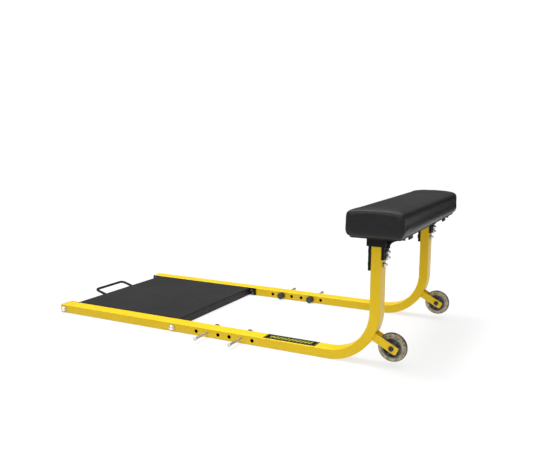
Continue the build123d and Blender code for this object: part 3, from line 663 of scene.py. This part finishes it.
def seam_path(end, surface):
    """Points on the cover along one end's seam, from bottom edge over the top to bottom edge."""
    y, inset = end_place(SEAM_TURN)
    outline = pad_outline(inset)
    points = []
    for index in range(1, len(outline) - 1):
        (x0, z0), (x1, z1) = outline[index - 1], outline[index + 1]
        outward = Vector((z1 - z0, 0, x0 - x1)).normalized()
        x, z = outline[index]
        normal = outward * math.sin(SEAM_TURN) + Vector((0, end, 0)) * math.cos(SEAM_TURN)
        start = Vector((PAD_MID.x + x, end * y, z)) + normal * SEAM_REACH
        hit = surface.ray_cast(start, -normal)[0]
        if hit is not None:
            points.append(hit)
    return points


def evenly(points, pitch):
    """Points spaced evenly along a line of points."""
    spaced = [points[0].copy()]
    left = pitch
    for before, after in zip(points, points[1:]):
        step = after - before
        walked = 0.0
        while step.length - walked >= left:
            walked += left
            spaced.append(before + step * (walked / step.length))
            left = pitch
        left -= step.length - walked
    return spaced


cover_surface = BVHTree.FromPolygons(
    [v.co for v in pad_cover.data.vertices], [face.vertices[:] for face in pad_cover.data.polygons]
)
seams = [evenly(seam_path(end, cover_surface), STITCH_PITCH) for end in SIDES.values()]
seam_points = [point for seam in seams for point in seam]
near_seam = KDTree(len(seam_points))
for index, point in enumerate(seam_points):
    near_seam.insert(point, index)
near_seam.balance()
for vertex in pad_cover.data.vertices:
    place, index, gap = near_seam.find(vertex.co)
    if gap < 3 * SEAM_SPREAD:
        vertex.co -= vertex.normal * SEAM_GROOVE * math.exp(-((gap / SEAM_SPREAD) ** 2))


def fill_stitches(shape):
    """One short arched thread for each stitch, lying in the groove."""
    for seam in seams:
        for before, after in zip(seam, seam[1:]):
            along = (after - before).normalized()
            middle = (before + after) / 2
            inward = Vector((PAD_MID.x, 0, PAD_MID.z)) - middle
            inward = (inward - along * inward.dot(along)).normalized()
            bed = middle + inward * SEAM_GROOVE * STITCH_SINK
            ends = along * STITCH_LENGTH / 2
            sunk = inward * STITCH_RADIUS
            tube(shape, [bed - ends + sunk, bed, bed + ends + sunk], [STITCH_RADIUS] * 3, 6)


add_piece("pad_stitches", fill_stitches, THREAD)
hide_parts("pad_cushion")

# The cover's hem, folded under the board between the foam and the pad plates, and its staples
BOARD_LOW, BOARD_HIGH, BOARD_MID = span("pad_board")
PLATE_LOW, PLATE_HIGH, PLATE_MID = span("pad_plate_right")
HEM_THICKNESS = 0.0012
HEM_GAP = 0.0002
HEM_OVERLAP = 0.0060
HEM_END_WIDTH = 0.014
HEM_CORNER = 0.013
PLATE_GAP = 0.0006
STAPLE_LENGTH = 0.010
STAPLE_RADIUS = 0.0005
STAPLE_PITCH = 0.047
STAPLE_SEED = 4
STAPLE_TURN = 0.14
STAPLE_DRIFT_X = 0.0008
STAPLE_DRIFT_Y = 0.003


def rounded_loop(low_x, high_x, half_y, z, radius, steps=6):
    """A rounded rectangle as a list of points."""
    corners = ((high_x, half_y, 0), (low_x, half_y, 1), (low_x, -half_y, 2), (high_x, -half_y, 3))
    points = []
    for x, y, quarter in corners:
        centre_x = x - math.copysign(radius, x - BOARD_MID.x)
        centre_y = y - math.copysign(radius, y)
        for step in range(steps + 1):
            turn = math.pi / 2 * (quarter + step / steps)
            x_there = centre_x + radius * math.cos(turn)
            points.append(Vector((x_there, centre_y + radius * math.sin(turn), z)))
    return points


def fill_hem(shape):
    """An L section round the board: a wall outside its edge and a lip under it."""
    loops = []
    lip_low = BOARD_LOW.z - HEM_GAP - HEM_THICKNESS
    wall_high = PAD_LOW.z + HEM_OVERLAP

    def outside(grow, z):
        half_y = BOARD_HIGH.y + grow
        loops.append(rounded_loop(BOARD_LOW.x - grow, BOARD_HIGH.x + grow, half_y, z, HEM_CORNER + grow))

    def inside(z):
        low_x = PLATE_LOW.x - PLATE_GAP
        high_x = PLATE_HIGH.x + PLATE_GAP
        loops.append(rounded_loop(low_x, high_x, BOARD_HIGH.y - HEM_END_WIDTH, z, HEM_CORNER / 2))

    outside(HEM_GAP + HEM_THICKNESS, wall_high)
    outside(HEM_GAP + HEM_THICKNESS, lip_low + HEM_THICKNESS / 2)
    outside(HEM_GAP + HEM_THICKNESS / 2, lip_low)
    inside(lip_low)
    inside(lip_low + HEM_THICKNESS)
    outside(HEM_GAP, lip_low + HEM_THICKNESS)
    outside(HEM_GAP, wall_high)
    join_rings(shape, [[shape.verts.new(point) for point in loop] for loop in loops], closed=True)


def fill_staples(shape):
    """Wire staples through the hem, a little out of line with each other."""
    draw = random.Random(STAPLE_SEED)
    places = []
    count = int((BOARD_HIGH.y - BOARD_LOW.y - STAPLE_PITCH) / STAPLE_PITCH)
    for index in range(count):
        y = (index - (count - 1) / 2) * STAPLE_PITCH
        places.append(((BOARD_LOW.x + PLATE_LOW.x) / 2, y, math.pi / 2))
    for end in SIDES.values():
        for x in (-1.0, 0.0, 1.0):
            places.append((BOARD_MID.x + x * STAPLE_PITCH, end * (BOARD_HIGH.y - HEM_END_WIDTH / 2), 0.0))
    crown_z = BOARD_LOW.z - HEM_GAP - HEM_THICKNESS - STAPLE_RADIUS / 2
    for x, y, turn in places:
        turn += draw.uniform(-STAPLE_TURN, STAPLE_TURN)
        half = Vector((math.cos(turn), math.sin(turn), 0)) * STAPLE_LENGTH / 2
        drift_x = draw.uniform(-STAPLE_DRIFT_X, STAPLE_DRIFT_X)
        drift_y = draw.uniform(-STAPLE_DRIFT_Y, STAPLE_DRIFT_Y)
        middle = Vector((x + drift_x, y + drift_y, crown_z))
        legs = Vector((0, 0, HEM_THICKNESS))
        line = [middle - half + legs, middle - half * 0.96, middle + half * 0.96, middle + half + legs]
        tube(shape, line, [STAPLE_RADIUS] * 4, 6)


add_piece("pad_hem", fill_hem, MATERIALS["pad_vinyl"], smooth=False)
add_piece("pad_staples", fill_staples, MATERIALS["zinc_steel"])

# ---- Weld beads ---------------------------------------------------------------------------------

WELD_RADIUS = 0.0020
WELD_RIPPLE = 0.0016
WELD_RIPPLE_DEPTH = 0.16
HANDLE_WELD_RADIUS = 0.0018
ON_SURFACE = 0.0004


def bead(shape, points, radius, closed=False):
    """A weld bead: a tube whose radius ripples, thinner at its ends unless closed."""
    count = len(points)
    radii = []
    for index in range(count):
        ripple = 1 + WELD_RIPPLE_DEPTH * math.sin(2 * math.pi * index / 4)
        taper = 1.0 if closed else min(1.0, 0.45 + 0.3 * min(index, count - 1 - index))
        radii.append(radius * ripple * taper)
    tube(shape, points, radii, 8, closed)


def fork_bead_maker(node):
    """Beads along both faces of a fork plate where it meets the bend."""
    low, high = span(node)[:2]
    turns = []
    for vertex in nodes[node].data.vertices:
        x = vertex.co.x - BEND_CENTRE[0]
        z = vertex.co.z - BEND_CENTRE[1]
        if abs(math.hypot(x, z) - BEND_OUTER_RADIUS) < ON_SURFACE:
            turns.append(math.atan2(z, x))
    first, last = min(turns), max(turns)
    count = int((last - first) * BEND_OUTER_RADIUS / (WELD_RIPPLE / 2))

    def fill(shape):
        for y in (low.y, high.y):
            points = []
            for index in range(count + 1):
                turn = first + (last - first) * index / count
                x = BEND_CENTRE[0] + BEND_OUTER_RADIUS * math.cos(turn)
                points.append(Vector((x, y, BEND_CENTRE[1] + BEND_OUTER_RADIUS * math.sin(turn))))
            bead(shape, points, WELD_RADIUS)

    return fill


def handle_bead_maker():
    """A ring of weld round each leg of the handle, on the footplate's foot-end flange."""
    low = span("footplate")[0]
    rings = []
    for sign in SIDES.values():
        on_flange = []
        for vertex in nodes["handle"].data.vertices:
            if abs(vertex.co.x - low.x) < ON_SURFACE and vertex.co.y * sign > 0:
                on_flange.append(vertex.co)
        ys = [co.y for co in on_flange]
        zs = [co.z for co in on_flange]
        centre = Vector((low.x, (min(ys) + max(ys)) / 2, (min(zs) + max(zs)) / 2))
        rings.append((centre, (max(ys) - min(ys)) / 2, (max(zs) - min(zs)) / 2))

    def fill(shape):
        for centre, half_y, half_z in rings:
            count = 4 * int(2 * math.pi * half_y / (2 * WELD_RIPPLE))
            points = []
            for index in range(count):
                turn = 2 * math.pi * index / count
                points.append(centre + Vector((0, half_y * math.cos(turn), half_z * math.sin(turn))))
            bead(shape, points, HANDLE_WELD_RADIUS, closed=True)

    return fill


for side in SIDES:
    for place in ("outer", "inner"):
        node = f"wheel_fork_{place}_{side}"
        paint = MATERIALS["yellow_paint"]
        add_piece(f"fork_weld_{place}_{side}", fork_bead_maker(node), paint)
add_piece("handle_welds", handle_bead_maker(), MATERIALS["black_powder_coat"])


# ---- Studio -------------------------------------------------------------------------------------


WHITE = rgba(1.0, 1.0, 1.0)
FLOOR_HALF = 2.4
FLOOR_GLOW = 0.72
SKY_LOW_Z = 0.25
SKY_HIGH_Z = 0.95
SKY_HORIZON = 0.02
SKY_TOP = 1.30


def make_floor():
    """A pale table lit a little from within, so that shadows on it stay light."""
    m = Shader("studio_floor")
    base = m.mix(m.noise(1.5, 2.0), rgba(0.19, 0.19, 0.19), rgba(0.21, 0.21, 0.21))
    m.set(Base_Color=base, Roughness=0.8, Specular_IOR_Level=0.1)
    m.set(Emission_Color=WHITE, Emission_Strength=FLOOR_GLOW)
    return m.material


floor_corners = [(x * FLOOR_HALF, y * FLOOR_HALF, 0) for x, y in ((-1, -1), (1, -1), (1, 1), (-1, 1))]
floor_mesh = bpy.data.meshes.new("studio_floor")
floor_mesh.from_pydata(floor_corners, [], [(0, 1, 2, 3)])
floor_mesh.materials.append(make_floor())
studio_floor = bpy.data.objects.new("studio_floor", floor_mesh)
scene.collection.objects.link(studio_floor)


def make_world():
    """White to the camera; as light, a sky that is bright overhead and nearly dark at the horizon."""
    world = bpy.data.worlds.new("studio")
    world.use_nodes = True
    tree = world.node_tree
    tree.nodes.clear()
    output = tree.nodes.new("ShaderNodeOutputWorld")
    shown = tree.nodes.new("ShaderNodeBackground")
    shown.inputs["Color"].default_value = WHITE
    shown.inputs["Strength"].default_value = 1.0
    lit = tree.nodes.new("ShaderNodeBackground")
    lit.inputs["Color"].default_value = WHITE
    place = tree.nodes.new("ShaderNodeTexCoord")
    split = tree.nodes.new("ShaderNodeSeparateXYZ")
    ramp = tree.nodes.new("ShaderNodeMapRange")
    ramp.inputs["From Min"].default_value = SKY_LOW_Z
    ramp.inputs["From Max"].default_value = SKY_HIGH_Z
    ramp.inputs["To Min"].default_value = SKY_HORIZON
    ramp.inputs["To Max"].default_value = SKY_TOP
    path = tree.nodes.new("ShaderNodeLightPath")
    both = tree.nodes.new("ShaderNodeMixShader")
    tree.links.new(place.outputs["Generated"], split.inputs[0])
    tree.links.new(split.outputs["Z"], ramp.inputs["Value"])
    tree.links.new(ramp.outputs["Result"], lit.inputs["Strength"])
    tree.links.new(path.outputs["Is Camera Ray"], both.inputs[0])
    tree.links.new(lit.outputs[0], both.inputs[1])
    tree.links.new(shown.outputs[0], both.inputs[2])
    tree.links.new(both.outputs[0], output.inputs["Surface"])
    return world


scene.world = make_world()


def sun(name, source, strength, angle):
    """A light from afar; source is the direction it stands in."""
    data = bpy.data.lights.new(name, "SUN")
    data.energy = strength
    data.angle = math.radians(angle)
    made = bpy.data.objects.new(name, data)
    made.rotation_euler = Vector(source).to_track_quat("Z", "Y").to_euler()
    scene.collection.objects.link(made)


def softbox(name, place, target, power, size):
    """A square area light that stands at place and faces target."""
    data = bpy.data.lights.new(name, "AREA")
    data.energy = power
    data.size = size
    made = bpy.data.objects.new(name, data)
    made.location = place
    made.rotation_euler = (Vector(place) - Vector(target)).to_track_quat("Z", "Y").to_euler()
    scene.collection.objects.link(made)


POST_SOFTBOX_PLACE = (1.00, -1.30, 0.95)
NEAR_POST = (0.60, -0.30, 0.20)

sun("overhead_softbox", (-0.05, -0.05, 1.0), strength=1.20, angle=60)
sun("edge_light", (-0.30, -0.02, 0.92), strength=1.55, angle=16)
softbox("post_softbox", POST_SOFTBOX_PLACE, NEAR_POST, power=3.0, size=0.5)

# ---- Camera -------------------------------------------------------------------------------------

CAMERA_PLACE = (1.1608, -2.0980, 0.6914)
YAW, PITCH, ROLL = 0.4778, 0.1479, 0.0044
LENS_MM = 43.31
SENSOR_MM = 36.0

back = Vector((math.sin(YAW) * math.cos(PITCH), -math.cos(YAW) * math.cos(PITCH), math.sin(PITCH)))
right = Vector((math.cos(YAW), math.sin(YAW), 0.0))
up = right.cross(-back)
rolled_right = right * math.cos(ROLL) + up * math.sin(ROLL)
rolled_up = up * math.cos(ROLL) - right * math.sin(ROLL)
camera_data = bpy.data.cameras.new("camera")
camera_data.sensor_fit = "HORIZONTAL"
camera_data.sensor_width = SENSOR_MM
camera_data.lens = LENS_MM
camera = bpy.data.objects.new("camera", camera_data)
turn = Matrix((rolled_right, rolled_up, back)).transposed().to_4x4()
camera.matrix_world = Matrix.Translation(CAMERA_PLACE) @ turn
scene.collection.objects.link(camera)
scene.camera = camera
scene.view_settings.view_transform = "Standard"
